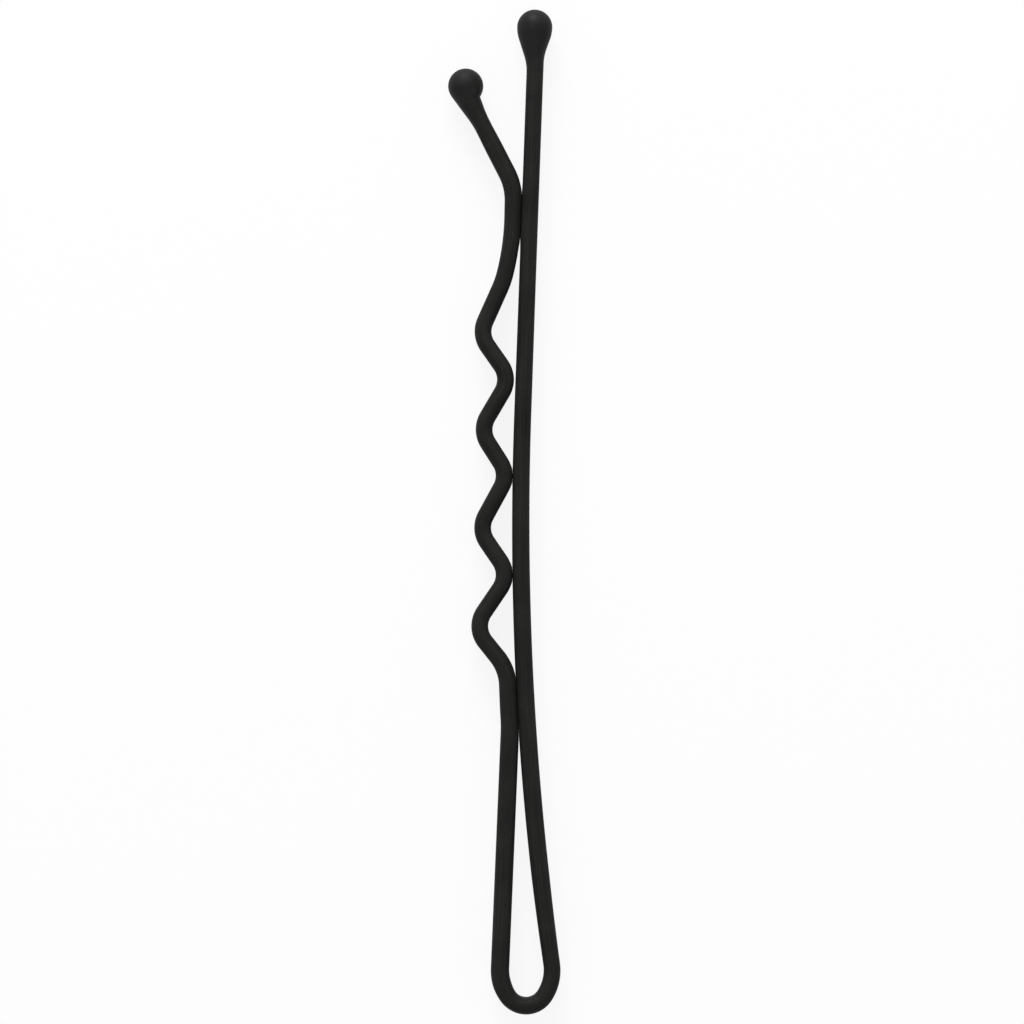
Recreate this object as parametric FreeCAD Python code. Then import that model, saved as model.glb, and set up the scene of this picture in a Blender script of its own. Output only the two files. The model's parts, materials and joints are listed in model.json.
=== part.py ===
import FreeCAD, Part
import collections
import math
import os

# Bobby pin, lying flat. One spring-steel wire is bent round a bow into a straight arm and a crimped arm
# that touch along their length, and a drop of hard resin closes each cut end. Lengths are in millimetres
# and angles in degrees. Bend radii are inside the bend, and heights run from the wire's centre at the foot
# of the bow.

# Wire: round wire rolled flat, so its edges stay round
wire_thickness = 0.86
wire_flat = 0.54                # width of each flat face, between the round edges

# Bow: a tight nose between two wider flanks
nose_radius = 0.69
nose_half_angle = 57.0
flank_radius = 1.95

# Straight arm: one long sweep that bows it against the crimps, then a straight run
straight_leg_lean = 8.05        # inwards, where it leaves the bow
straight_sweep_radius = 158.6
straight_arm_lean = 2.04        # outwards, from the sweep to the tip
tip_lead = 2.99                 # how far this tip stands past the other one

# Crimped arm, from the bow up: pinch, crimps, shoulder, grip and toe
contact_gap = 0.005             # left between the arms where they touch
pinch_height = 14.71
pinch_length = 1.65             # the arms lie side by side over this
pinch_radius = 7.95
first_crest_radius = 2.02       # where the arm leaves the pinch for the first crimp
first_crimp_rise = 2.95         # from the end of the pinch to the first outer crest
crimp_count = 4
crimp_pitch = 4.966
crimp_flank = 1.36              # straight run between two crests
end_crimp_depth = 1.30          # of the first and last crimp, crest to crest
middle_crimp_depth = 1.07
middle_crest_rise = 0.13        # the inner crests stand this far above halfway between the outer ones
last_crest_gap = 0.076          # the last inner crest stands halfway, and clear of the straight arm
shoulder_radius = 4.19
shoulder_lean = 14.1            # outwards, where the shoulder meets the grip
grip_rise = 5.65                # from the last outer crest to the grip
grip_radius = 12.59
grip_land = 0.98                # the grip lies flat on the straight arm over this
toe_radius = 2.46
toe_lean = 27.2                 # outwards
toe_run = 4.89                  # from the toe's bend to the cut end

# Resin tips: a ball over the cut end, and a neck that thins out along the wire
tip_wall = 0.197                # resin over the round edges of the wire, at the ball
skirt_film = 0.015              # resin over the wire where the neck ends
straight_tip_shift = 0.09       # ball's centre to the left of the wire's axis
straight_tip_cap = 0.285        # from the ball's centre to the top of the neck
straight_tip_waist = 1.45       # from the ball's centre to the narrow part of the neck
straight_tip_waist_film = 0.05
straight_tip_neck = 1.95        # from the ball's centre to the end of the neck
crimped_tip_shift = -0.153
crimped_tip_cap = 0.46
crimped_tip_waist = 1.02
crimped_tip_waist_film = 0.12
crimped_tip_neck = 2.30

# Sizes that follow from those above
half_thickness = wire_thickness / 2
half_flat = wire_flat / 2
arm_spacing = wire_thickness + contact_gap      # between the centres of arms that touch
nose_line = nose_radius + half_thickness
flank_line = flank_radius + half_thickness
sweep_line = straight_sweep_radius + half_thickness
pinch_line = pinch_radius + half_thickness
first_crest_line = first_crest_radius + half_thickness
shoulder_line = shoulder_radius + half_thickness
grip_line = grip_radius + half_thickness
toe_line = toe_radius + half_thickness
crest_line = ((crimp_pitch / 2) ** 2 + middle_crimp_depth ** 2 - crimp_flank ** 2) / (4 * middle_crimp_depth)
tip_radius = half_flat + half_thickness + tip_wall

up = FreeCAD.Vector(0, 0, 1)
quarter = math.pi / 2
shortest_run = 1e-6

# A bend turns left about its centre if its radius is positive, and right if it is negative
Bend = collections.namedtuple("Bend", "centre radius heading_in heading_out")
Peg = collections.namedtuple("Peg", "centre radius")


# Plane geometry of the wire's centre line. A heading is an angle from +X, in radians.

def along(heading):
    return FreeCAD.Vector(math.cos(heading), math.sin(heading), 0)


def left_of(heading):
    return FreeCAD.Vector(-math.sin(heading), math.cos(heading), 0)


def outset(centre, radius, heading):
    """Point where wire with this heading touches the circle that it bends round."""
    return centre - left_of(heading) * radius


def run_between(first, second):
    """Heading of the straight run from one peg to the next, as wire lies on a bending jig."""
    reach = second.centre - first.centre
    return math.atan2(reach.y, reach.x) - math.asin((second.radius - first.radius) / reach.Length)


# Wire and resin forms

def wire_ring(centre, heading, film):
    """Outline of the wire, grown by a film, square to a heading at its centre."""
    across = left_of(heading)
    side = half_thickness + film
    slant = side * math.sqrt(0.5)

    def spot(sideways, height):
        return centre + across * sideways + up * height

    edges = []
    for way in (1, -1):
        corners = [spot(way * side, -way * half_flat), spot(way * side, way * half_flat),
                   spot(0, way * (half_flat + side)), spot(-way * side, way * half_flat)]
        edges.append(Part.LineSegment(corners[0], corners[1]))
        edges.append(Part.Arc(corners[1], spot(way * slant, way * (half_flat + slant)), corners[2]))
        edges.append(Part.Arc(corners[2], spot(-way * slant, way * (half_flat + slant)), corners[3]))
    return Part.Wire([edge.toShape() for edge in edges])


def round_ring(centre, heading, radius):
    """Circle square to a heading, in six arcs that face the six edges of the wire's outline."""
    corner = math.atan2(half_flat, half_thickness)
    half = 2 * quarter
    stops = [-corner, corner, quarter, half - corner, half + corner, half + quarter, 2 * half - corner]

    def spot(angle):
        return centre + left_of(heading) * (radius * math.cos(angle)) + up * (radius * math.sin(angle))

    arcs = [Part.Arc(spot(a), spot((a + b) / 2), spot(b)) for a, b in zip(stops, stops[1:])]
    return Part.Wire([arc.toShape() for arc in arcs])


def wire_section(centre, heading):
    return Part.Face(wire_ring(centre, heading, 0))


def bent_wire(start, bends, end):
    """Solid wire from a start point, straight from bend to bend, to an end point."""
    pieces = []
    point = start
    for bend in bends:
        entry = outset(bend.centre, bend.radius, bend.heading_in)
        if point.distanceToPoint(entry) > shortest_run:
            pieces.append(wire_section(point, bend.heading_in).extrude(entry - point))
        turn = math.degrees(bend.heading_out - bend.heading_in)
        pieces.append(wire_section(entry, bend.heading_in).revolve(bend.centre, up, turn))
        point = outset(bend.centre, bend.radius, bend.heading_out)
    if point.distanceToPoint(end) > shortest_run:
        pieces.append(wire_section(point, bends[-1].heading_out).extrude(end - point))
    return pieces[0].multiFuse(pieces[1:]).removeSplitter()


def resin_tip(wire, wire_end, heading, shift, cap, waist, waist_film, neck):
    """Resin drop on a cut end: most of a ball, then a neck and a thin skirt, with a socket for the wire."""
    centre = wire_end + left_of(heading) * shift
    rim_radius = math.sqrt(tip_radius ** 2 - cap ** 2)
    rim_centre = centre - along(heading) * cap
    pole = centre + along(heading) * tip_radius
    flank = centre + left_of(heading) * tip_radius
    rim = rim_centre + left_of(heading) * rim_radius
    profile = [Part.Arc(pole, flank, rim), Part.LineSegment(rim, rim_centre),
               Part.LineSegment(rim_centre, pole)]
    profile_face = Part.Face(Part.Wire([edge.toShape() for edge in profile]))
    ball = profile_face.revolve(centre, along(heading), 360)
    rings = [round_ring(rim_centre, heading, rim_radius),
             wire_ring(wire_end - along(heading) * waist, heading, waist_film),
             wire_ring(wire_end - along(heading) * neck, heading, skirt_film)]
    skirt = Part.makeLoft(rings, True, True)
    return ball.fuse(skirt).removeSplitter().cut(wire)


# Centre line of the bow and the straight arm

nose_turn = math.radians(nose_half_angle)
leg_heading = quarter + math.radians(straight_leg_lean)
arm_heading = quarter - math.radians(straight_arm_lean)
nose_centre = FreeCAD.Vector(0, nose_line, 0)
right_flank = nose_centre + left_of(nose_turn) * (flank_line - nose_line)
left_flank = nose_centre + left_of(-nose_turn) * (flank_line - nose_line)
sweep_centre = right_flank - left_of(leg_heading) * (flank_line + sweep_line)
sweep_end = outset(sweep_centre, -sweep_line, arm_heading)


def straight_arm_at(height):
    """Point of the straight arm's centre line at a height, and the wire's heading there."""
    if height < sweep_end.y:
        heading = quarter - math.asin((height - sweep_centre.y) / sweep_line)
        return outset(sweep_centre, -sweep_line, heading), heading
    return sweep_end + along(arm_heading) * ((height - sweep_end.y) / math.sin(arm_heading)), arm_heading


def beside_straight_arm(height, distance):
    """Point beside the straight arm's centre line, towards the crimped arm."""
    point, heading = straight_arm_at(height)
    return point + left_of(heading) * distance


# Centre line of the crimped arm. An inner crest bends left with its back on the straight arm, and an outer
# crest bends right.

first_crest_height = pinch_height + pinch_length
first_outer_height = first_crest_height + first_crimp_rise
last_outer_height = first_outer_height + (crimp_count - 1) * crimp_pitch
grip_height = last_outer_height + grip_rise
pinch = Peg(beside_straight_arm(pinch_height, arm_spacing + pinch_line), pinch_line)
crimped_leg_heading = run_between(Peg(left_flank, -flank_line), pinch)
pinch_heading = straight_arm_at(pinch_height)[1]
first_crest_heading = straight_arm_at(first_crest_height)[1]
grip_heading = straight_arm_at(grip_height)[1]
shoulder_heading = quarter - math.radians(shoulder_lean)
toe_heading = quarter + math.radians(toe_lean)
grip_centre = beside_straight_arm(grip_height, arm_spacing + grip_line)
shoulder_centre = grip_centre - left_of(shoulder_heading) * (grip_line - shoulder_line)
toe_centre = beside_straight_arm(grip_height + grip_land, arm_spacing + toe_line)


def crest_pegs():
    """Pegs of the crimps, an inner and an outer crest each, and of the shoulder above them."""
    pegs = [Peg(beside_straight_arm(first_crest_height, arm_spacing + first_crest_line), first_crest_line)]
    for number in range(crimp_count):
        outer_height = first_outer_height + number * crimp_pitch
        halfway = outer_height - crimp_pitch / 2
        first, last = number == 0, number == crimp_count - 1
        if last and not first:
            clear_spacing = wire_thickness + last_crest_gap
            pegs.append(Peg(beside_straight_arm(halfway, clear_spacing + crest_line), crest_line))
        elif not first:
            inner_height = halfway + middle_crest_rise
            pegs.append(Peg(beside_straight_arm(inner_height, arm_spacing + crest_line), crest_line))
        depth = end_crimp_depth if first or last else middle_crimp_depth
        pegs.append(Peg(beside_straight_arm(outer_height, arm_spacing + depth - crest_line), -crest_line))
    pegs.append(Peg(shoulder_centre, shoulder_line))
    return pegs


def crimped_arm_bends():
    nest_line = sweep_line + arm_spacing
    bends = [Bend(pinch.centre, pinch_line, crimped_leg_heading, pinch_heading),
             Bend(sweep_centre, -nest_line, pinch_heading, first_crest_heading)]
    pegs = crest_pegs()
    headings = [first_crest_heading]
    headings += [run_between(first, second) for first, second in zip(pegs, pegs[1:])]
    headings.append(shoulder_heading)
    for peg, heading_in, heading_out in zip(pegs, headings, headings[1:]):
        bends.append(Bend(peg.centre, peg.radius, heading_in, heading_out))
    bends.append(Bend(grip_centre, grip_line, shoulder_heading, grip_heading))
    bends.append(Bend(toe_centre, toe_line, grip_heading, toe_heading))
    return bends


# The wire's stretches meet face to face halfway up the legs, where it flexes

crimped_leg_foot = outset(left_flank, -flank_line, crimped_leg_heading)
crimped_leg_top = outset(pinch.centre, pinch_line, crimped_leg_heading)
crimped_leg_joint = (crimped_leg_foot + crimped_leg_top) * 0.5
straight_leg_joint, straight_joint_heading = straight_arm_at(crimped_leg_joint.y)
crimped_end = outset(toe_centre, toe_line, toe_heading) + along(toe_heading) * toe_run
crimped_ball_height = (crimped_end + left_of(toe_heading) * crimped_tip_shift).y
straight_end = straight_arm_at(crimped_ball_height + tip_lead)[0]

bow = bent_wire(crimped_leg_joint, [
    Bend(left_flank, flank_line, crimped_leg_heading - 2 * quarter, -nose_turn),
    Bend(nose_centre, nose_line, -nose_turn, nose_turn),
    Bend(right_flank, flank_line, nose_turn, leg_heading),
    Bend(sweep_centre, -sweep_line, leg_heading, straight_joint_heading),
], straight_leg_joint)
straight_arm = bent_wire(straight_leg_joint, [
    Bend(sweep_centre, -sweep_line, straight_joint_heading, arm_heading),
], straight_end)
crimped_arm = bent_wire(crimped_leg_joint, crimped_arm_bends(), crimped_end)
straight_arm_tip = resin_tip(straight_arm, straight_end, arm_heading, straight_tip_shift, straight_tip_cap,
                             straight_tip_waist, straight_tip_waist_film, straight_tip_neck)
crimped_arm_tip = resin_tip(crimped_arm, crimped_end, toe_heading, crimped_tip_shift, crimped_tip_cap,
                            crimped_tip_waist, crimped_tip_waist_film, crimped_tip_neck)

pieces = {
    "bow": bow,
    "straight_arm": straight_arm,
    "crimped_arm": crimped_arm,
    "straight_arm_tip": straight_arm_tip,
    "crimped_arm_tip": crimped_arm_tip,
}

# The origin is under the middle of the pin, on the surface that it lies on
box = Part.makeCompound(list(pieces.values())).optimalBoundingBox(False)
to_origin = FreeCAD.Vector(-box.Center.x, -box.Center.y, -box.ZMin)
os.makedirs("parts", exist_ok=True)
for name, solid in pieces.items():
    solid.translate(to_origin)
    solid.exportStep(f"parts/{name}.step")
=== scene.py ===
"""Bobby pin: a lacquered spring wire and two resin tips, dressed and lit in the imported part's frame."""
import cmath
import json
import logging
import math
from dataclasses import dataclass
from enum import Enum, IntEnum
from typing import Mapping, NamedTuple, Optional, Sequence, Union

import bpy
import numpy as np
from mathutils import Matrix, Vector


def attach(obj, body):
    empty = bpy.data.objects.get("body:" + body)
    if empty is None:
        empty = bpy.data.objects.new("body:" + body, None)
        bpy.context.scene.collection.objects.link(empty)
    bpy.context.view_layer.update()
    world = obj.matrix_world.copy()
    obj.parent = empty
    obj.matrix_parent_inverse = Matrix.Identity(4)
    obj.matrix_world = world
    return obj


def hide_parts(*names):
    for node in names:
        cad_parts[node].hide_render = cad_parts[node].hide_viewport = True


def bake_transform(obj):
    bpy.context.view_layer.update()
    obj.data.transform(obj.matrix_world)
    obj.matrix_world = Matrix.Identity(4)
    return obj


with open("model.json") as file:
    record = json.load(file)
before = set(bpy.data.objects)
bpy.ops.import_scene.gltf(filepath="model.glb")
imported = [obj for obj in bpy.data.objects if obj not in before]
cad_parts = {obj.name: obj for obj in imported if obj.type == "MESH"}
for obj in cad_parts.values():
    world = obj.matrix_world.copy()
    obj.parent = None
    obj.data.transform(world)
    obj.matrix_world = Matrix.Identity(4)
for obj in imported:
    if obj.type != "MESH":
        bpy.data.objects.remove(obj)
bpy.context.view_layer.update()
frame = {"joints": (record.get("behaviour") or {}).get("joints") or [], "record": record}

MM = 0.001
HALF_TURN = math.pi
QUARTER_TURN = math.pi / 2
SHARP_EDGE = math.radians(50.0)
LOG = logging.getLogger("bobby_pin")

Colour = tuple[float, float, float, float]
Value = Union["Signal", float, Sequence[float]]


# Shader graphs

class MathOp(Enum):
    """Operations of the Math nodes that Python's operators stand for."""

    ADD = "ADD"
    SUBTRACT = "SUBTRACT"
    MULTIPLY = "MULTIPLY"


class Signal:
    """An output socket. Arithmetic on it adds Math nodes to its graph."""

    def __init__(self, graph: "Graph", port: Optional[bpy.types.NodeSocket]) -> None:
        """Wraps a socket of a node in the graph."""
        self.graph = graph
        self.port = port

    def __add__(self, other: Value) -> "Signal":
        """Sum with another value."""
        return self.graph.math(MathOp.ADD, self, other)

    def __radd__(self, other: Value) -> "Signal":
        """Sum with a number on the left."""
        return self.graph.math(MathOp.ADD, other, self)

    def __sub__(self, other: Value) -> "Signal":
        """Difference from another value."""
        return self.graph.math(MathOp.SUBTRACT, self, other)

    def __rsub__(self, other: Value) -> "Signal":
        """Difference of a number on the left from this value."""
        return self.graph.math(MathOp.SUBTRACT, other, self)

    def __mul__(self, other: Value) -> "Signal":
        """Product with another value."""
        return self.graph.math(MathOp.MULTIPLY, self, other)

    def __rmul__(self, other: Value) -> "Signal":
        """Product with a number on the left."""
        return self.graph.math(MathOp.MULTIPLY, other, self)


class Graph:
    """The nodes of one material or of the world."""

    def __init__(self, tree: bpy.types.NodeTree) -> None:
        """Empties a node tree and takes it over."""
        tree.nodes.clear()
        self.tree = tree

    def node(self, kind: str, settings: Mapping[str, object], sockets: Mapping[Union[str, int], Value],
             out: Union[str, int] = 0) -> Signal:
        """Adds a node.

        Args:
            kind: Blender's name for the type of node.
            settings: The node's own settings, which are set first.
            sockets: Values or links of its input sockets, by name or by place.
            out: The output socket that is wanted.

        Returns:
            The wanted output, or an empty signal for a node with no outputs.
        """
        made = self.tree.nodes.new(kind)
        for name, value in settings.items():
            setattr(made, name, value)
        for name, value in sockets.items():
            if isinstance(value, Signal):
                self.tree.links.new(value.port, made.inputs[name])
            else:
                made.inputs[name].default_value = value
        return Signal(self, made.outputs[out] if made.outputs else None)

    def math(self, operation: MathOp, first: Value, second: Value) -> Signal:
        """Adds a Math node on two values."""
        return self.node("ShaderNodeMath", {"operation": operation.value}, {0: first, 1: second})

    def noise(self, place: Signal, cell: float, detail: float = 2.0) -> Signal:
        """Adds smooth noise.

        Args:
            place: The point that the noise is read at, in metres.
            cell: Size of one cell of the noise, in metres.
            detail: Number of finer layers.

        Returns:
            Noise on both sides of zero, seldom beyond 0.3.
        """
        sockets = {"Vector": place, "Scale": 1 / cell, "Detail": detail}
        return self.node("ShaderNodeTexNoise", {"noise_dimensions": "3D"}, sockets) - 0.5

    def specks(self, place: Signal, spacing: float, radius: float) -> Signal:
        """Adds scattered round specks.

        Args:
            place: The point that they are read at, in metres.
            spacing: Usual distance between them, in metres.
            radius: Radius at which a speck has faded out, in metres.

        Returns:
            One in the middle of a speck, and zero between the specks.
        """
        distance = self.node("ShaderNodeTexVoronoi", {"voronoi_dimensions": "3D"}, {
            "Vector": place, "Scale": 1 / spacing}, "Distance")
        return self.node("ShaderNodeMapRange", {"interpolation_type": "SMOOTHSTEP"}, {
            "Value": distance, "From Min": radius / spacing, "From Max": 0.0})

    def stretched(self, place: Signal, along: float) -> Signal:
        """A place drawn out lengthwise, so that noise read there makes streaks longer by this factor."""
        sockets = {0: place, 1: (1.0, 1.0, 1 / along)}
        return self.node("ShaderNodeVectorMath", {"operation": "MULTIPLY"}, sockets)

    def tint(self, share: Signal, first: Colour, second: Colour) -> Signal:
        """Adds a mix of two colours.

        Args:
            share: The second colour's share, which is kept between 0 and 1.
            first: The colour at a share of 0.
            second: The colour at a share of 1.

        Returns:
            The mixed colour.
        """
        # A Mix node has sockets of one name for each type of data, so its colours are found by place.
        sockets = {0: share, 6: first, 7: second}
        return self.node("ShaderNodeMix", {"data_type": "RGBA", "clamp_factor": True}, sockets, 2)

    def seen_directly(self) -> Signal:
        """Tells direct views from soft bounced light.

        Returns:
            One for what the camera, a reflection or a transmission sees, and zero for the rest.
        """
        rays = ("Is Camera Ray", "Is Glossy Ray", "Is Transmission Ray")
        camera, glossy, transmission = [self.node("ShaderNodeLightPath", {}, {}, ray) for ray in rays]
        return camera + glossy + transmission


def new_material(name: str) -> tuple[bpy.types.Material, Graph]:
    """Makes an empty material.

    Args:
        name: Name of the material.

    Returns:
        The material, and its graph.
    """
    material = bpy.data.materials.new(name)
    material.use_nodes = True
    return material, Graph(material.node_tree)


# Finishes

class Shares(NamedTuple):
    """A value that varies over a coating: its middle, and how far each layer of the coating shifts it."""

    middle: float
    streak: float = 0.0
    mottle: float = 0.0
    grain: float = 0.0
    dust: float = 0.0
    rubbed: float = 0.0

    def over(self, layers: Mapping[str, Signal]) -> Signal:
        """Adds the layers up.

        Args:
            layers: The coating's layers, by name.

        Returns:
            The middle value, shifted by each layer that has a share.
        """
        shares = {name: share for name, share in self._asdict().items() if name in layers and share}
        return sum((layers[name] * share for name, share in shares.items()), start=self.middle)


@dataclass(frozen=True)
class Coating:
    """A thin coating between two shades, whose layers shift its tone, its roughness and its relief."""

    deep: Colour
    pale: Colour
    specular: float
    tone: Shares
    roughness: Shares
    relief: Shares
    relief_depth: float

    def cover(self, graph: Graph, layers: Mapping[str, Signal]) -> None:
        """Ends a material's graph with the coating's surface.

        Args:
            graph: The material's graph.
            layers: The coating's layers, by name.
        """
        bump = graph.node("ShaderNodeBump", {}, {
            "Strength": 1.0, "Distance": self.relief_depth, "Height": self.relief.over(layers)})
        shader = graph.node("ShaderNodeBsdfPrincipled", {}, {
            "Base Color": graph.tint(self.tone.over(layers), self.deep, self.pale),
            "Roughness": self.roughness.over(layers), "Specular IOR Level": self.specular, "Normal": bump})
        graph.node("ShaderNodeOutputMaterial", {}, {"Surface": shader})


@dataclass(frozen=True)
class Lacquer(Coating):
    """Matt black lacquer over drawn wire: lengthwise streaks, fine grain and dust, and rubbed places."""

    deep: Colour = (0.0105, 0.0105, 0.0101, 1.0)
    pale: Colour = (0.0215, 0.0212, 0.0204, 1.0)
    specular: float = 0.05
    tone: Shares = Shares(0.50, streak=1.6, mottle=1.0, grain=1.0, dust=0.4, rubbed=0.3)
    roughness: Shares = Shares(0.60, streak=0.25, grain=0.3, rubbed=-0.2)
    relief: Shares = Shares(0.0, streak=0.5, grain=0.7, dust=0.6)
    relief_depth: float = 0.006 * MM
    rub: Shares = Shares(0.6, streak=1.5)
    streak_width: float = 0.10 * MM
    streak_draw: float = 40.0
    streak_detail: float = 3.0
    grain_size: float = 0.05 * MM
    mottle_size: float = 1.4 * MM
    dust_spacing: float = 0.40 * MM
    dust_radius: float = 0.04 * MM

    def material(self) -> bpy.types.Material:
        """Builds the finish.

        Returns:
            The lacquer's material.
        """
        material, graph = new_material("black_lacquer")
        place = graph.node("ShaderNodeAttribute", {"attribute_name": BentWire.PLACE}, {}, "Vector")
        wear = graph.node("ShaderNodeAttribute", {"attribute_name": BentWire.WEAR}, {}, "Fac")
        drawn = graph.stretched(place, self.streak_draw)
        layers = {
            "streak": graph.noise(drawn, self.streak_width, self.streak_detail),
            "mottle": graph.noise(place, self.mottle_size),
            "grain": graph.noise(place, self.grain_size),
            "dust": graph.specks(place, self.dust_spacing, self.dust_radius),
        }
        layers["rubbed"] = wear * self.rub.over(layers)
        self.cover(graph, layers)
        return material


@dataclass(frozen=True)
class Resin(Coating):
    """Matt black resin, dipped and cured: a little smoother than the lacquer, softly clouded and pebbled."""

    deep: Colour = (0.0075, 0.0075, 0.0072, 1.0)
    pale: Colour = (0.0150, 0.0148, 0.0143, 1.0)
    specular: float = 0.13
    tone: Shares = Shares(0.5, mottle=1.3, grain=1.0, dust=0.4)
    roughness: Shares = Shares(0.58, mottle=0.3, grain=0.2)
    relief: Shares = Shares(0.0, grain=0.8, dust=0.5)
    relief_depth: float = 0.005 * MM
    cloud_size: float = 0.45 * MM
    pebble_size: float = 0.07 * MM
    dust_spacing: float = 0.45 * MM
    dust_radius: float = 0.035 * MM

    def material(self) -> bpy.types.Material:
        """Builds the finish.

        Returns:
            The resin's material.
        """
        material, graph = new_material("black_resin")
        place = graph.node("ShaderNodeTexCoord", {}, {}, "Object")
        self.cover(graph, {
            "mottle": graph.noise(place, self.cloud_size),
            "grain": graph.noise(place, self.pebble_size),
            "dust": graph.specks(place, self.dust_spacing, self.dust_radius),
        })
        return material


@dataclass(frozen=True)
class PaleFloor:
    """A white sweep that looks white by itself and takes a faint share of its shade from the light."""

    colour: Colour = (0.88, 0.88, 0.88, 1.0)
    white: Colour = (1.0, 1.0, 1.0, 1.0)
    own_white: float = 0.88

    def material(self) -> bpy.types.Material:
        """Builds the finish.

        Returns:
            The floor's material.
        """
        material, graph = new_material("pale_floor")
        shaded = graph.node("ShaderNodeBsdfDiffuse", {}, {"Color": self.colour})
        white = graph.node("ShaderNodeEmission", {}, {"Color": self.white, "Strength": 1.0})
        share = graph.seen_directly() * self.own_white
        shader = graph.node("ShaderNodeMixShader", {}, {0: share, 1: shaded, 2: white})
        graph.node("ShaderNodeOutputMaterial", {}, {"Surface": shader})
        return material


# Meshes

class End(Enum):
    """How the last ring of a loft is closed."""

    FLAT = "flat"
    POLE = "pole"


def rounded_section(half_width: float, half_flat: float, sides: int) -> np.ndarray:
    """Outline of flattened wire: two flats joined by round edges, or a circle where there is no flat.

    Args:
        half_width: Radius of the round edges, which is half the distance between the flats.
        half_flat: Half the height of each flat.
        sides: Number of corners.

    Returns:
        One row of sideways place and height for each corner.
    """
    angles = (np.arange(sides) + 0.5) * 2 * HALF_TURN / sides
    heights = half_width * np.sin(angles) + np.copysign(half_flat, np.sin(angles))
    return np.column_stack([half_width * np.cos(angles), heights])


def loft(name: str, rings: np.ndarray, end: End) -> bpy.types.Object:
    """Makes a closed mesh over rings of points, smooth but for its sharp edges.

    Args:
        name: Name of the piece.
        rings: An array of rings, points and coordinates. The first ring gets a flat cap.
        end: How the last ring is closed.

    Returns:
        The new object, at the origin.
    """
    count, sides = rings.shape[:2]
    points = rings.reshape(-1, 3).tolist()
    faces = [tuple(reversed(range(sides)))]
    for near in range(0, (count - 1) * sides, sides):
        for side in range(sides):
            after = (side + 1) % sides
            faces.append((near + side, near + after, near + sides + after, near + sides + side))
    last = range((count - 1) * sides, count * sides)
    if end is End.POLE:
        points.append(rings[-1].mean(axis=0).tolist())
        faces += [(*pair, count * sides) for pair in zip(last, (*last[1:], last[0]))]
    else:
        faces.append(tuple(last))
    mesh = bpy.data.meshes.new(name)
    mesh.from_pydata(points, [], faces, shade_flat=False)
    mesh.set_sharp_from_angle(angle=SHARP_EDGE)
    made = bpy.data.objects.new(name, mesh)
    bpy.context.scene.collection.objects.link(made)
    return made


# Bent wire

class Station(NamedTuple):
    """A place on the wire's centre line, as x + iy in its plane, and its heading as an angle from +X."""

    point: complex
    heading: float

    def beside(self, distance: float) -> complex:
        """Point to the left of the wire, at a distance from its centre line."""
        return self.point + 1j * cmath.rect(distance, self.heading)


@dataclass(frozen=True)
class Peg:
    """A round peg of the bending jig. Wire turns left round a positive radius, and right round a negative."""

    centre: complex
    radius: float

    def touch(self, heading: float) -> complex:
        """Point where wire with this heading touches the peg."""
        return self.centre - 1j * cmath.rect(self.radius, heading)

    def run_to(self, other: "Peg") -> float:
        """Heading of the straight run of wire from this peg to another."""
        reach = other.centre - self.centre
        return cmath.phase(reach) - math.asin((other.radius - self.radius) / abs(reach))


class Route:
    """The wire's centre line as stations, close enough together for a smooth mesh."""

    RUN_STEP = 0.12 * MM
    TURN_STEP = math.radians(2.5)
    SHORTEST_RUN = 1e-9

    def __init__(self, start: complex, heading: float) -> None:
        """Starts the wire at a point, with a heading."""
        self.stations = [Station(start, heading)]

    def run(self, end: complex) -> "Route":
        """Takes the wire straight on to a point.

        Args:
            end: The point, which lies ahead of the wire.

        Returns:
            This route.
        """
        start, heading = self.stations[-1]
        if abs(end - start) > self.SHORTEST_RUN:
            count = math.ceil(abs(end - start) / self.RUN_STEP)
            places = [start + (end - start) * step / count for step in range(1, count + 1)]
            self.stations += [Station(place, heading) for place in places]
        return self

    def bend(self, peg: Peg, heading: float) -> "Route":
        """Takes the wire straight on to a peg, and round it.

        Args:
            peg: The peg, which the wire ahead touches.
            heading: The wire's heading where it leaves the peg.

        Returns:
            This route.
        """
        start = self.stations[-1].heading
        self.run(peg.touch(start))
        turn = heading - start
        count = math.ceil(max(abs(turn) / self.TURN_STEP, abs(turn * peg.radius) / self.RUN_STEP))
        headings = [start + turn * step / count for step in range(1, count + 1)]
        self.stations += [Station(peg.touch(turned), turned) for turned in headings]
        return self

    def points(self) -> np.ndarray:
        """Points of the stations."""
        return np.array([station.point for station in self.stations])

    def distances(self) -> np.ndarray:
        """Length of wire from the start to each station."""
        return np.cumsum(np.abs(np.diff(self.points(), prepend=self.points()[0])))

    def distance_to(self, other: "Route") -> np.ndarray:
        """Measures how far another centre line is.

        Args:
            other: The other centre line.

        Returns:
            The least distance to it from each station.
        """
        points, starts = self.points()[:, None], other.points()[:-1]
        runs = np.diff(other.points())
        shares = np.clip(((points - starts) * runs.conj()).real / np.abs(runs) ** 2, 0.0, 1.0)
        return np.abs(points - starts - shares * runs).min(axis=1)


class Facing(IntEnum):
    """The side of a stretch of wire on which the other arm touches it."""

    LEFT = 1
    RIGHT = -1
    NEITHER = 0


class Flow(IntEnum):
    """Which way a stretch runs from the crimped leg's seam: on round the bow, or back up the crimped arm."""

    ON = 1
    BACK = -1


class Layout(NamedTuple):
    """How a stretch of wire lies. Its travel is the length of wire from the crimped leg's seam to it."""

    route: Route
    mate: Route
    facing: Facing
    travel: float
    flow: Flow


class ThickCoat(NamedTuple):
    """Lacquer that is thicker on both sides of the wire, fully so between two heights."""

    depth: float
    foot: float
    full_from: float
    full_to: float
    top: float

    def at(self, heights: np.ndarray) -> np.ndarray:
        """Thickness at each height."""
        ends = (self.foot, self.full_from, self.full_to, self.top)
        return self.depth * np.interp(heights, ends, (0.0, 1.0, 1.0, 0.0))


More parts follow.
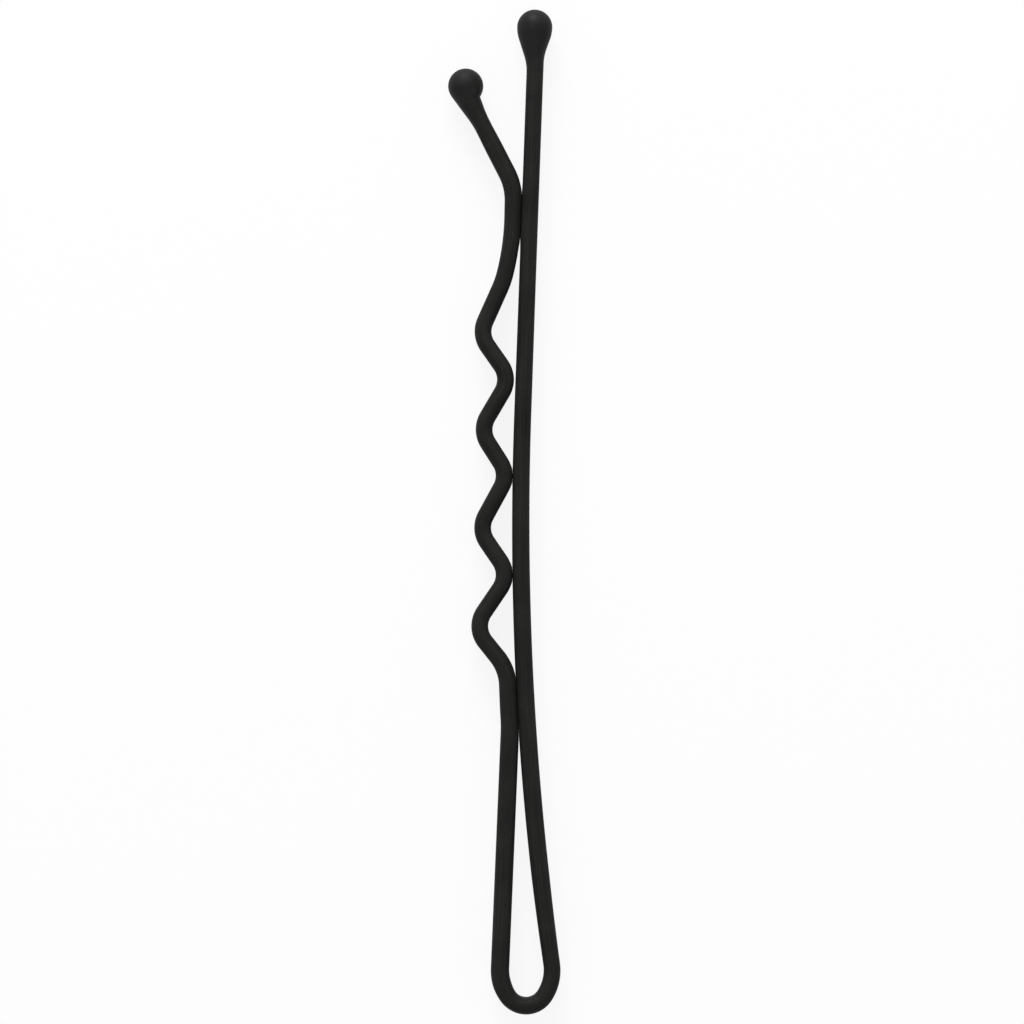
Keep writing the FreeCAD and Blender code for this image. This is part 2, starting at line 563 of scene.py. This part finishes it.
@dataclass(frozen=True)
class BentWire:
    """One flattened spring wire, bent round a bow into a straight arm and a crimped arm.

    Lengths are in metres and angles in radians. Bend radii are inside the bend, and heights run from the
    wire's centre at the foot of the bow.
    """

    seat: tuple[float, float, float]
    thickness: float = 0.86 * MM
    flat: float = 0.54 * MM
    nose_radius: float = 0.69 * MM
    nose_half_angle: float = math.radians(57.0)
    flank_radius: float = 1.95 * MM
    straight_leg_lean: float = math.radians(8.05)
    straight_sweep_radius: float = 158.6 * MM
    straight_arm_lean: float = math.radians(2.04)
    tip_lead: float = 2.99 * MM
    contact_gap: float = 0.005 * MM
    pinch_height: float = 14.71 * MM
    pinch_length: float = 1.65 * MM
    pinch_radius: float = 7.95 * MM
    first_crest_radius: float = 2.02 * MM
    first_crimp_rise: float = 2.95 * MM
    crimp_count: int = 4
    crimp_pitch: float = 4.966 * MM
    crimp_flank: float = 1.36 * MM
    end_crimp_depth: float = 1.30 * MM
    middle_crimp_depth: float = 1.07 * MM
    middle_crest_rise: float = 0.13 * MM
    last_crest_gap: float = 0.076 * MM
    shoulder_radius: float = 4.19 * MM
    shoulder_lean: float = math.radians(14.1)
    grip_rise: float = 5.65 * MM
    grip_radius: float = 12.59 * MM
    grip_land: float = 0.98 * MM
    toe_radius: float = 2.46 * MM
    toe_lean: float = math.radians(27.2)
    toe_run: float = 4.89 * MM
    crimped_tip_shift: float = -0.153 * MM
    seam_height: float = 2.6 * MM
    flex_reach: float = 4.8 * MM
    crimped_leg_coat: ThickCoat = ThickCoat(
        depth=0.041 * MM, foot=0.2 * MM, full_from=1.1 * MM, full_to=15.0 * MM, top=18.0 * MM)
    toe_coat: ThickCoat = ThickCoat(
        depth=0.020 * MM, foot=40.0 * MM, full_from=41.2 * MM, full_to=43.6 * MM, top=44.5 * MM)
    straight_leg_coat: ThickCoat = ThickCoat(
        depth=0.030 * MM, foot=2.6 * MM, full_from=6.5 * MM, full_to=14.0 * MM, top=36.0 * MM)
    crook_fill: float = 0.018 * MM
    crook_press: float = 0.001 * MM
    rub_reach: float = 0.03 * MM
    mesh_inset: float = 0.0015 * MM
    worn_bend_radius: float = 1.2 * MM
    sides: int = 48

    PLACE = "wire_place"
    WEAR = "wire_wear"

    # Sizes of the centre line

    def line(self, inside_radius: float) -> float:
        """Radius of the centre line round a bend."""
        return inside_radius + self.thickness / 2

    @property
    def spacing(self) -> float:
        """Distance between the centres of arms that touch."""
        return self.thickness + self.contact_gap

    @property
    def crest_line(self) -> float:
        """Radius of the centre line at a crest, from the pitch, the depth and the run between crests."""
        depth = self.middle_crimp_depth
        return ((self.crimp_pitch / 2) ** 2 + depth ** 2 - self.crimp_flank ** 2) / (4 * depth)

    @property
    def first_crest_height(self) -> float:
        """Height at which the crimped arm leaves the pinch."""
        return self.pinch_height + self.pinch_length

    @property
    def first_outer_height(self) -> float:
        """Height of the first outer crest."""
        return self.first_crest_height + self.first_crimp_rise

    @property
    def half_width(self) -> float:
        """Half the thickness of the wire's mesh."""
        return self.thickness / 2 - self.mesh_inset

    @property
    def nose(self) -> Peg:
        """The tight middle of the bow."""
        return Peg(1j * self.line(self.nose_radius), self.line(self.nose_radius))

    def flank(self, nose_turn: float) -> Peg:
        """A wider bend of the bow, which meets the nose at this heading."""
        radius = self.line(self.flank_radius)
        return Peg(self.nose.centre + 1j * cmath.rect(radius - self.nose.radius, nose_turn), radius)

    @property
    def leg_heading(self) -> float:
        """Heading of the straight arm where it leaves the bow."""
        return QUARTER_TURN + self.straight_leg_lean

    @property
    def arm_heading(self) -> float:
        """Heading of the straight arm from its sweep to its tip."""
        return QUARTER_TURN - self.straight_arm_lean

    @property
    def sweep(self) -> Peg:
        """Places the long bend of the straight arm.

        Returns:
            Its peg, which the wire turns right round.
        """
        flank = self.flank(self.nose_half_angle)
        radius = self.line(self.straight_sweep_radius)
        return Peg(flank.centre - 1j * cmath.rect(flank.radius + radius, self.leg_heading), -radius)

    def straight_at(self, height: float) -> Station:
        """Finds the straight arm's centre line.

        Args:
            height: A height on the arm.

        Returns:
            The arm's station there.
        """
        sweep = self.sweep
        end = sweep.touch(self.arm_heading)
        if height < end.imag:
            heading = QUARTER_TURN + math.asin((height - sweep.centre.imag) / sweep.radius)
            return Station(sweep.touch(heading), heading)
        rest = (height - end.imag) / math.sin(self.arm_heading)
        return Station(end + cmath.rect(rest, self.arm_heading), self.arm_heading)

    def left_leg(self) -> tuple[Peg, float]:
        """Lays the crimped leg between the bow and the pinch.

        Returns:
            The pinch that the leg runs up to, and the leg's heading.
        """
        radius = self.line(self.pinch_radius)
        pinch = Peg(self.straight_at(self.pinch_height).beside(self.spacing + radius), radius)
        flank = self.flank(-self.nose_half_angle)
        return pinch, Peg(flank.centre, -flank.radius).run_to(pinch)

    def left_seam(self) -> complex:
        """Finds where the crimped leg meets the bow.

        Returns:
            The point of the leg's centre line at the seam.
        """
        heading = self.left_leg()[1]
        flank = self.flank(-self.nose_half_angle)
        foot = Peg(flank.centre, -flank.radius).touch(heading)
        return foot + cmath.rect((self.seam_height - foot.imag) / math.sin(heading), heading)

    def inner_crest(self, height: float, gap: float, radius: float) -> Peg:
        """Peg of a crest that turns its back to the straight arm at a height, with a gap between them."""
        return Peg(self.straight_at(height).beside(self.thickness + gap + radius), radius)

    def crest_pegs(self) -> list[Peg]:
        """Places the pegs of the crimps.

        Returns:
            An inner and an outer crest for each crimp, from the pinch up.
        """
        first_line, gap = self.line(self.first_crest_radius), self.contact_gap
        pegs = [self.inner_crest(self.first_crest_height, gap, first_line)]
        for number in range(self.crimp_count):
            height = self.first_outer_height + number * self.crimp_pitch
            halfway = height - self.crimp_pitch / 2
            first, last = number == 0, number == self.crimp_count - 1
            if last and not first:
                pegs.append(self.inner_crest(halfway, self.last_crest_gap, self.crest_line))
            elif not first:
                pegs.append(self.inner_crest(halfway + self.middle_crest_rise, gap, self.crest_line))
            depth = self.end_crimp_depth if first or last else self.middle_crimp_depth
            outer = self.straight_at(height)
            pegs.append(Peg(outer.beside(self.spacing + depth - self.crest_line), -self.crest_line))
        return pegs

    # Centre lines

    def bow_route(self) -> Route:
        """Bends the bow.

        Returns:
            Its centre line, from the crimped leg's seam round to the straight leg's.
        """
        start = self.left_leg()[1] - HALF_TURN
        route = Route(self.left_seam(), start)
        route.bend(self.flank(-self.nose_half_angle), -self.nose_half_angle)
        route.bend(self.nose, self.nose_half_angle)
        route.bend(self.flank(self.nose_half_angle), self.leg_heading)
        return route.bend(self.sweep, self.straight_at(self.seam_height).heading)

    def straight_route(self) -> Route:
        """Bends the straight arm.

        Returns:
            Its centre line, from its seam to its cut end.
        """
        route = Route(*self.straight_at(self.seam_height))
        route.bend(self.sweep, self.arm_heading)
        crimped_end = self.crimped_route().stations[-1]
        crimped_ball = crimped_end.beside(self.crimped_tip_shift)
        return route.run(self.straight_at(crimped_ball.imag + self.tip_lead).point)

    def crimped_route(self) -> Route:
        """Bends the crimped arm.

        Returns:
            Its centre line, from its seam to its cut end.
        """
        pinch, leg_heading = self.left_leg()
        grip_height = self.first_outer_height + (self.crimp_count - 1) * self.crimp_pitch + self.grip_rise
        grip_station = self.straight_at(grip_height)
        bends = (self.grip_radius, self.shoulder_radius, self.toe_radius)
        grip_line, shoulder_line, toe_line = map(self.line, bends)
        shoulder_heading = QUARTER_TURN - self.shoulder_lean
        grip = Peg(grip_station.beside(self.spacing + grip_line), grip_line)
        shoulder_centre = grip.centre - 1j * cmath.rect(grip_line - shoulder_line, shoulder_heading)
        pegs = self.crest_pegs() + [Peg(shoulder_centre, shoulder_line)]
        toe_station = self.straight_at(grip_height + self.grip_land)
        toe = Peg(toe_station.beside(self.spacing + toe_line), toe_line)
        nest = Peg(self.sweep.centre, self.sweep.radius - self.spacing)

        route = Route(self.left_seam(), leg_heading)
        route.bend(pinch, self.straight_at(self.pinch_height).heading)
        route.bend(nest, self.straight_at(self.first_crest_height).heading)
        for peg, following in zip(pegs, pegs[1:]):
            route.bend(peg, peg.run_to(following))
        route.bend(pegs[-1], shoulder_heading)
        route.bend(grip, grip_station.heading)
        toe_heading = QUARTER_TURN + self.toe_lean
        route.bend(toe, toe_heading)
        return route.run(toe.touch(toe_heading) + cmath.rect(self.toe_run, toe_heading))

    # Meshes

    def in_frame(self, station: Station, section: np.ndarray) -> np.ndarray:
        """Places a section of the wire in the part's frame.

        Args:
            station: The place on the centre line, which the section stands square to.
            section: Rows of place to the left of the line and height above it.

        Returns:
            One row of x, y and z for each row of the section.
        """
        across = 1j * cmath.rect(1.0, station.heading)
        origin = complex(self.seat[0], self.seat[1]) - self.nose.centre
        plane = station.point + origin + section[:, 0] * across
        return np.column_stack([plane.real, plane.imag, self.seat[2] + section[:, 1]])

    def thick_coats(self, layout: Layout) -> np.ndarray:
        """How much thicker the lacquer is along the legs and the toe.

        Args:
            layout: How the stretch lies.

        Returns:
            A thickness for each station, to either side.
        """
        points = layout.route.points()
        heights = points.imag
        in_bow = layout.facing is Facing.NEITHER
        crimped = points.real < 0 if in_bow else layout.facing is Facing.RIGHT
        crimped_side = np.maximum(self.crimped_leg_coat.at(heights), self.toe_coat.at(heights))
        return np.where(crimped, crimped_side, self.straight_leg_coat.at(heights))

    def crook_swell(self, half_gaps: np.ndarray) -> np.ndarray:
        """How far lacquer stands out from the wire where it gathers in the crook between the arms.

        Args:
            half_gaps: Half the clear distance to the other arm, at each station.

        Returns:
            A thickness for each station. It closes a narrow gap, and fades out where the gap is wide.
        """
        past = np.clip(half_gaps - self.crook_fill, 0.0, None) / self.crook_fill
        return np.minimum(half_gaps + self.crook_press, self.crook_fill) * np.exp(-past ** 2)

    def wear(self, route: Route, half_gaps: np.ndarray, facing: Facing) -> np.ndarray:
        """How far the lacquer is rubbed on the outside of tight bends and where the arms touch.

        Args:
            route: The stretch's centre line.
            half_gaps: Half the clear distance to the other arm, at each station.
            facing: The side on which the other arm touches.

        Returns:
            A share from 0 to 1 for each corner of each section.
        """
        sideways = rounded_section(1.0, 0.0, self.sides)[:, 0]
        turns = np.gradient([station.heading for station in route.stations], route.distances())[:, None]
        tightness = np.clip(np.abs(turns) * self.worn_bend_radius, 0.0, 1.0)
        outside = np.clip(-np.sign(turns) * sideways, 0.0, 1.0)
        touch = np.exp(-(np.clip(half_gaps, 0.0, None) / self.rub_reach) ** 2)[:, None]
        inside = np.clip(facing * sideways, 0.0, 1.0)
        return np.maximum(tightness ** 2 * outside ** 2, touch * inside ** 4)

    def stretch(self, name: str, layout: Layout) -> bpy.types.Object:
        """Makes the mesh of one stretch of wire.

        Args:
            name: Name of the piece.
            layout: How the stretch lies.

        Returns:
            The piece, with the places that its lacquer is read at and how far it is rubbed.
        """
        route, facing, flow = layout.route, layout.facing, layout.flow
        section = rounded_section(self.half_width, self.flat / 2, self.sides)
        half_gaps = route.distance_to(layout.mate) / 2 - self.half_width
        coats = self.thick_coats(layout)
        gathered = np.maximum(self.crook_swell(half_gaps), np.minimum(coats, np.clip(half_gaps, 0.0, None)))
        sideways = section[:, 0] / self.half_width
        inside = facing * np.clip(facing * sideways, 0.0, 1.0)
        swells = np.outer(gathered, inside) + np.outer(coats, sideways - inside)
        swollen = section + np.stack([swells, np.zeros_like(swells)], axis=2)
        rings = np.array([self.in_frame(*pair) for pair in zip(route.stations, swollen)])
        made = loft(name, rings, End.FLAT)

        travels = np.repeat(layout.travel + flow * route.distances(), self.sides)
        around = np.tile(section * (flow, 1.0), (len(rings), 1))
        place = made.data.attributes.new(self.PLACE, "FLOAT_VECTOR", "POINT")
        place.data.foreach_set("vector", np.column_stack([around, travels]).ravel())
        wear = made.data.attributes.new(self.WEAR, "FLOAT", "POINT")
        wear.data.foreach_set("value", self.wear(route, half_gaps, facing).ravel())
        return made

    def flex(self, piece: bpy.types.Object, joint: str) -> None:
        """Bakes a leg's placement into its mesh. The joint's pivot and a reach on each side of it are worked
        out, but nothing is made to bend.

        Args:
            piece: The stretch of wire.
            joint: Name of the joint.
        """
        pivot = next(row["pos_m"] for row in frame["joints"] if row["name"] == joint)
        start = (pivot[0], pivot[1] - self.flex_reach, pivot[2])
        end = (pivot[0], pivot[1] + self.flex_reach, pivot[2])
        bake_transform(piece)

    def build(self) -> list[bpy.types.Object]:
        """Builds the wire's three stretches, hangs the bow on its body, and bakes the arms' placement into
        their meshes.

        Returns:
            The bow, the straight arm and the crimped arm.
        """
        bow_route, straight_route = self.bow_route(), self.straight_route()
        crimped_route = self.crimped_route()
        bow_end = bow_route.distances()[-1]
        bow_layout = Layout(bow_route, crimped_route, Facing.NEITHER, 0.0, Flow.ON)
        straight_layout = Layout(straight_route, crimped_route, Facing.LEFT, bow_end, Flow.ON)
        crimped_layout = Layout(crimped_route, straight_route, Facing.RIGHT, 0.0, Flow.BACK)
        bow = self.stretch("bow_wire", bow_layout)
        straight = self.stretch("straight_arm_wire", straight_layout)
        crimped = self.stretch("crimped_arm_wire", crimped_layout)
        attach(bow, "bow")
        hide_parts("bow")
        self.flex(straight, "straight_leg_flex")
        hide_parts("straight_arm")
        self.flex(crimped, "crimped_leg_flex")
        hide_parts("crimped_arm")
        return [bow, straight, crimped]

    def dress(self, pieces: Sequence[bpy.types.Object], finish: Lacquer) -> None:
        """Gives the stretches their lacquer.

        Args:
            pieces: The stretches.
            finish: The lacquer.
        """
        material = finish.material()
        for piece in pieces:
            piece.data.materials.append(material)


# Resin tips

class Skirt(NamedTuple):
    """One side of a resin tip below its ball: a slope that runs out on the wire."""

    slope: float
    runout: float


@dataclass(frozen=True)
class ResinTip:
    """A drop of hard resin over a cut end: a ball, and a neck that thins out along the wire.

    Lengths are in metres. Distances run down the wire from the ball's centre, and left is seen with the tip
    up.
    """

    name: str
    node: str
    body: str
    wire: BentWire
    end: Station
    shift: float
    left: Skirt
    right: Skirt
    top: Skirt
    ball_radius: float = 0.895 * MM
    fillet: float = 0.40 * MM
    film: float = 0.002 * MM
    socket_gap: float = 0.001 * MM
    ring_step: float = 0.03 * MM
    cap_rings: int = 18
    sides: int = 64

    def profile(self, distances: np.ndarray, skirt: Skirt, wire_half: float, shift: float) -> np.ndarray:
        """Distance from the wire's axis to one side of the resin, from the ball's middle down.

        The ball is drawn out to an ellipse where that lets the slope leave it without a notch.

        Args:
            distances: Places down the wire.
            skirt: The slope on this side.
            wire_half: Half the wire's size in this direction.
            shift: Distance that the ball stands off the axis towards this side.

        Returns:
            One distance for each place.
        """
        radius, slope = self.ball_radius, skirt.slope
        reach = wire_half + self.film + slope * skirt.runout - shift
        over = reach ** 2 - radius ** 2
        drawn = max(radius, math.sqrt(max(over, 0.0)) / slope)
        spread = slope ** 2 + (radius / drawn) ** 2
        meet = (reach * slope + math.sqrt(max((reach * slope) ** 2 - spread * over, 0.0))) / spread
        ball = shift + radius * np.sqrt(np.clip(1 - (distances / drawn) ** 2, 0.0, 1.0))
        rest = skirt.runout - distances
        faded = np.clip(rest + self.fillet, 0.0, None) ** 2 / (4 * self.fillet)
        neck = wire_half + self.film + slope * np.where(rest > self.fillet, rest, faded)
        return np.where(distances < meet, ball, neck)

    def rings(self) -> np.ndarray:
        """Rings of points from the socket's floor down to the lip, and up outside to the ball's crown.

        Returns:
            An array of rings, points and coordinates.
        """
        half_width, half_height = self.wire.thickness / 2, (self.wire.thickness + self.wire.flat) / 2
        lip = max(self.left.runout, self.right.runout, self.top.runout) + self.fillet
        below = np.linspace(lip, 0.0, math.ceil(lip / self.ring_step) + 1)
        left = self.profile(below, self.left, half_width, self.shift)
        right = self.profile(below, self.right, half_width, -self.shift)
        top = self.profile(below, self.top, half_height, 0.0)
        socket = rounded_section(half_width + self.socket_gap, self.wire.flat / 2, self.sides)
        rings = [self.place(-self.socket_gap, socket, 0.0), self.place(lip, socket, 0.0)]
        for distance, to_left, to_right, to_top in zip(below, left, right, top):
            half = (to_left + to_right) / 2
            section = rounded_section(half, max(to_top - half, 0.0), self.sides)
            rings.append(self.place(distance, section, (to_left - to_right) / 2))
        for number in range(1, self.cap_rings):
            angle = QUARTER_TURN * number / self.cap_rings
            section = rounded_section(self.ball_radius * math.cos(angle), 0.0, self.sides)
            rings.append(self.place(-self.ball_radius * math.sin(angle), section, self.shift))
        return np.array(rings)

    def place(self, distance: float, section: np.ndarray, shift: float) -> np.ndarray:
        """Places a section of the resin in the part's frame, at a distance down the wire."""
        point = self.end.point - cmath.rect(distance, self.end.heading)
        return self.wire.in_frame(Station(point, self.end.heading), section + (shift, 0.0))

    def build(self) -> bpy.types.Object:
        """Builds the tip and hangs it on its arm.

        Returns:
            The tip.
        """
        made = loft(self.name, self.rings(), End.POLE)
        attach(made, self.body)
        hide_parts(self.node)
        return made

    def dress(self, piece: bpy.types.Object, material: bpy.types.Material) -> None:
        """Gives the tip its resin."""
        piece.data.materials.append(material)


# Studio

@dataclass(frozen=True)
class PhotoView:
    """The camera, straight above the pin, and the picture's frame."""

    side_pixels: int = 1024
    pixel: float = 0.0508 * MM
    origin_pixel: tuple[float, float] = (504.30, 511.83)
    lens: float = 200.0

    def build(self, height: float) -> None:
        """Sets the camera over the pin.

        Args:
            height: Height of the middle of the wire, where a pixel has its stated size.
        """
        data = bpy.data.cameras.new("camera")
        data.lens = self.lens
        camera = bpy.data.objects.new("camera", data)
        middle = self.side_pixels / 2
        away = self.side_pixels * self.pixel * self.lens / data.sensor_width
        x, y = (middle - self.origin_pixel[0]) * self.pixel, (self.origin_pixel[1] - middle) * self.pixel
        camera.location = (x, y, height + away)
        bpy.context.scene.collection.objects.link(camera)
        bpy.context.scene.camera = camera


@dataclass(frozen=True)
class Softbox:
    """A square light that faces the pin. A level of 1 shows a white sheet that faces it as white."""

    name: str
    level: float
    rise: float
    side: float
    distance: float
    size: float

    def build(self) -> None:
        """Hangs the light at its rise above the floor, turned to its side from the pin's open end."""
        data = bpy.data.lights.new(self.name, "AREA")
        data.shape = "SQUARE"
        data.size = self.size
        data.energy = self.level * math.pi ** 2 * self.distance ** 2
        light = bpy.data.objects.new(self.name, data)
        light.rotation_euler = (self.rise - QUARTER_TURN, 0.0, self.side)
        light.location = light.rotation_euler.to_matrix() @ Vector((0.0, 0.0, self.distance))
        bpy.context.scene.collection.objects.link(light)


@dataclass(frozen=True)
class Studio:
    """A pale floor under an even sky, with one broad soft light from the pin's open end."""

    floor_half: float = 4.0
    sky: float = 0.62
    key: Softbox = Softbox(
        "key", level=1.05, rise=math.radians(26.0), side=math.radians(8.0), distance=0.40, size=0.20)

    def build_floor(self) -> None:
        """Lays the floor under the pin."""
        reach = self.floor_half
        corners = [(-reach, -reach, 0.0), (reach, -reach, 0.0), (reach, reach, 0.0), (-reach, reach, 0.0)]
        mesh = bpy.data.meshes.new("floor")
        mesh.from_pydata(corners, [], [(0, 1, 2, 3)])
        mesh.materials.append(PaleFloor().material())
        floor = bpy.data.objects.new("floor", mesh)
        bpy.context.scene.collection.objects.link(floor)

    def build_light(self) -> None:
        """Hangs the key light and fills the sky."""
        self.key.build()
        world = bpy.data.worlds.new("sky")
        world.use_nodes = True
        graph = Graph(world.node_tree)
        sky = graph.node("ShaderNodeBackground", {}, {"Color": (1.0, 1.0, 1.0, 1.0), "Strength": self.sky})
        graph.node("ShaderNodeOutputWorld", {}, {"Surface": sky})
        bpy.context.scene.world = world

    def build(self) -> None:
        """Builds the floor and the light, with colours shown as they are."""
        self.build_floor()
        self.build_light()
        bpy.context.scene.view_settings.view_transform = "Standard"


def main() -> None:
    """Builds the wire, its tips and the studio."""
    logging.basicConfig(level=logging.INFO, format="%(name)s: %(message)s")
    seat = next(mount["pos_m"] for mount in frame["record"]["mounts"] if mount["name"] == "bow_seat")
    wire = BentWire(seat=tuple(seat))
    pieces = wire.build()
    wire.dress(pieces, Lacquer())
    straight_end = wire.straight_route().stations[-1]
    crimped_end = wire.crimped_route().stations[-1]
    tips = [
        ResinTip("straight_arm_bead", "straight_arm_tip", "straight_arm", wire, straight_end,
                 shift=0.09 * MM,
                 left=Skirt(slope=0.362, runout=1.85 * MM),
                 right=Skirt(slope=0.332, runout=1.43 * MM),
                 top=Skirt(slope=0.14, runout=1.52 * MM)),
        ResinTip("crimped_arm_bead", "crimped_arm_tip", "crimped_arm", wire, crimped_end,
                 shift=wire.crimped_tip_shift,
                 left=Skirt(slope=0.17, runout=1.92 * MM),
                 right=Skirt(slope=0.13, runout=1.75 * MM),
                 top=Skirt(slope=0.12, runout=1.70 * MM)),
    ]
    resin = Resin().material()
    for tip in tips:
        piece = tip.build()
        tip.dress(piece, resin)
        pieces.append(piece)
    for piece in pieces:
        LOG.info("%s: %d faces", piece.name, len(piece.data.polygons))
    PhotoView().build(seat[2])
    Studio().build()


if __name__ == "__main__":
    main()
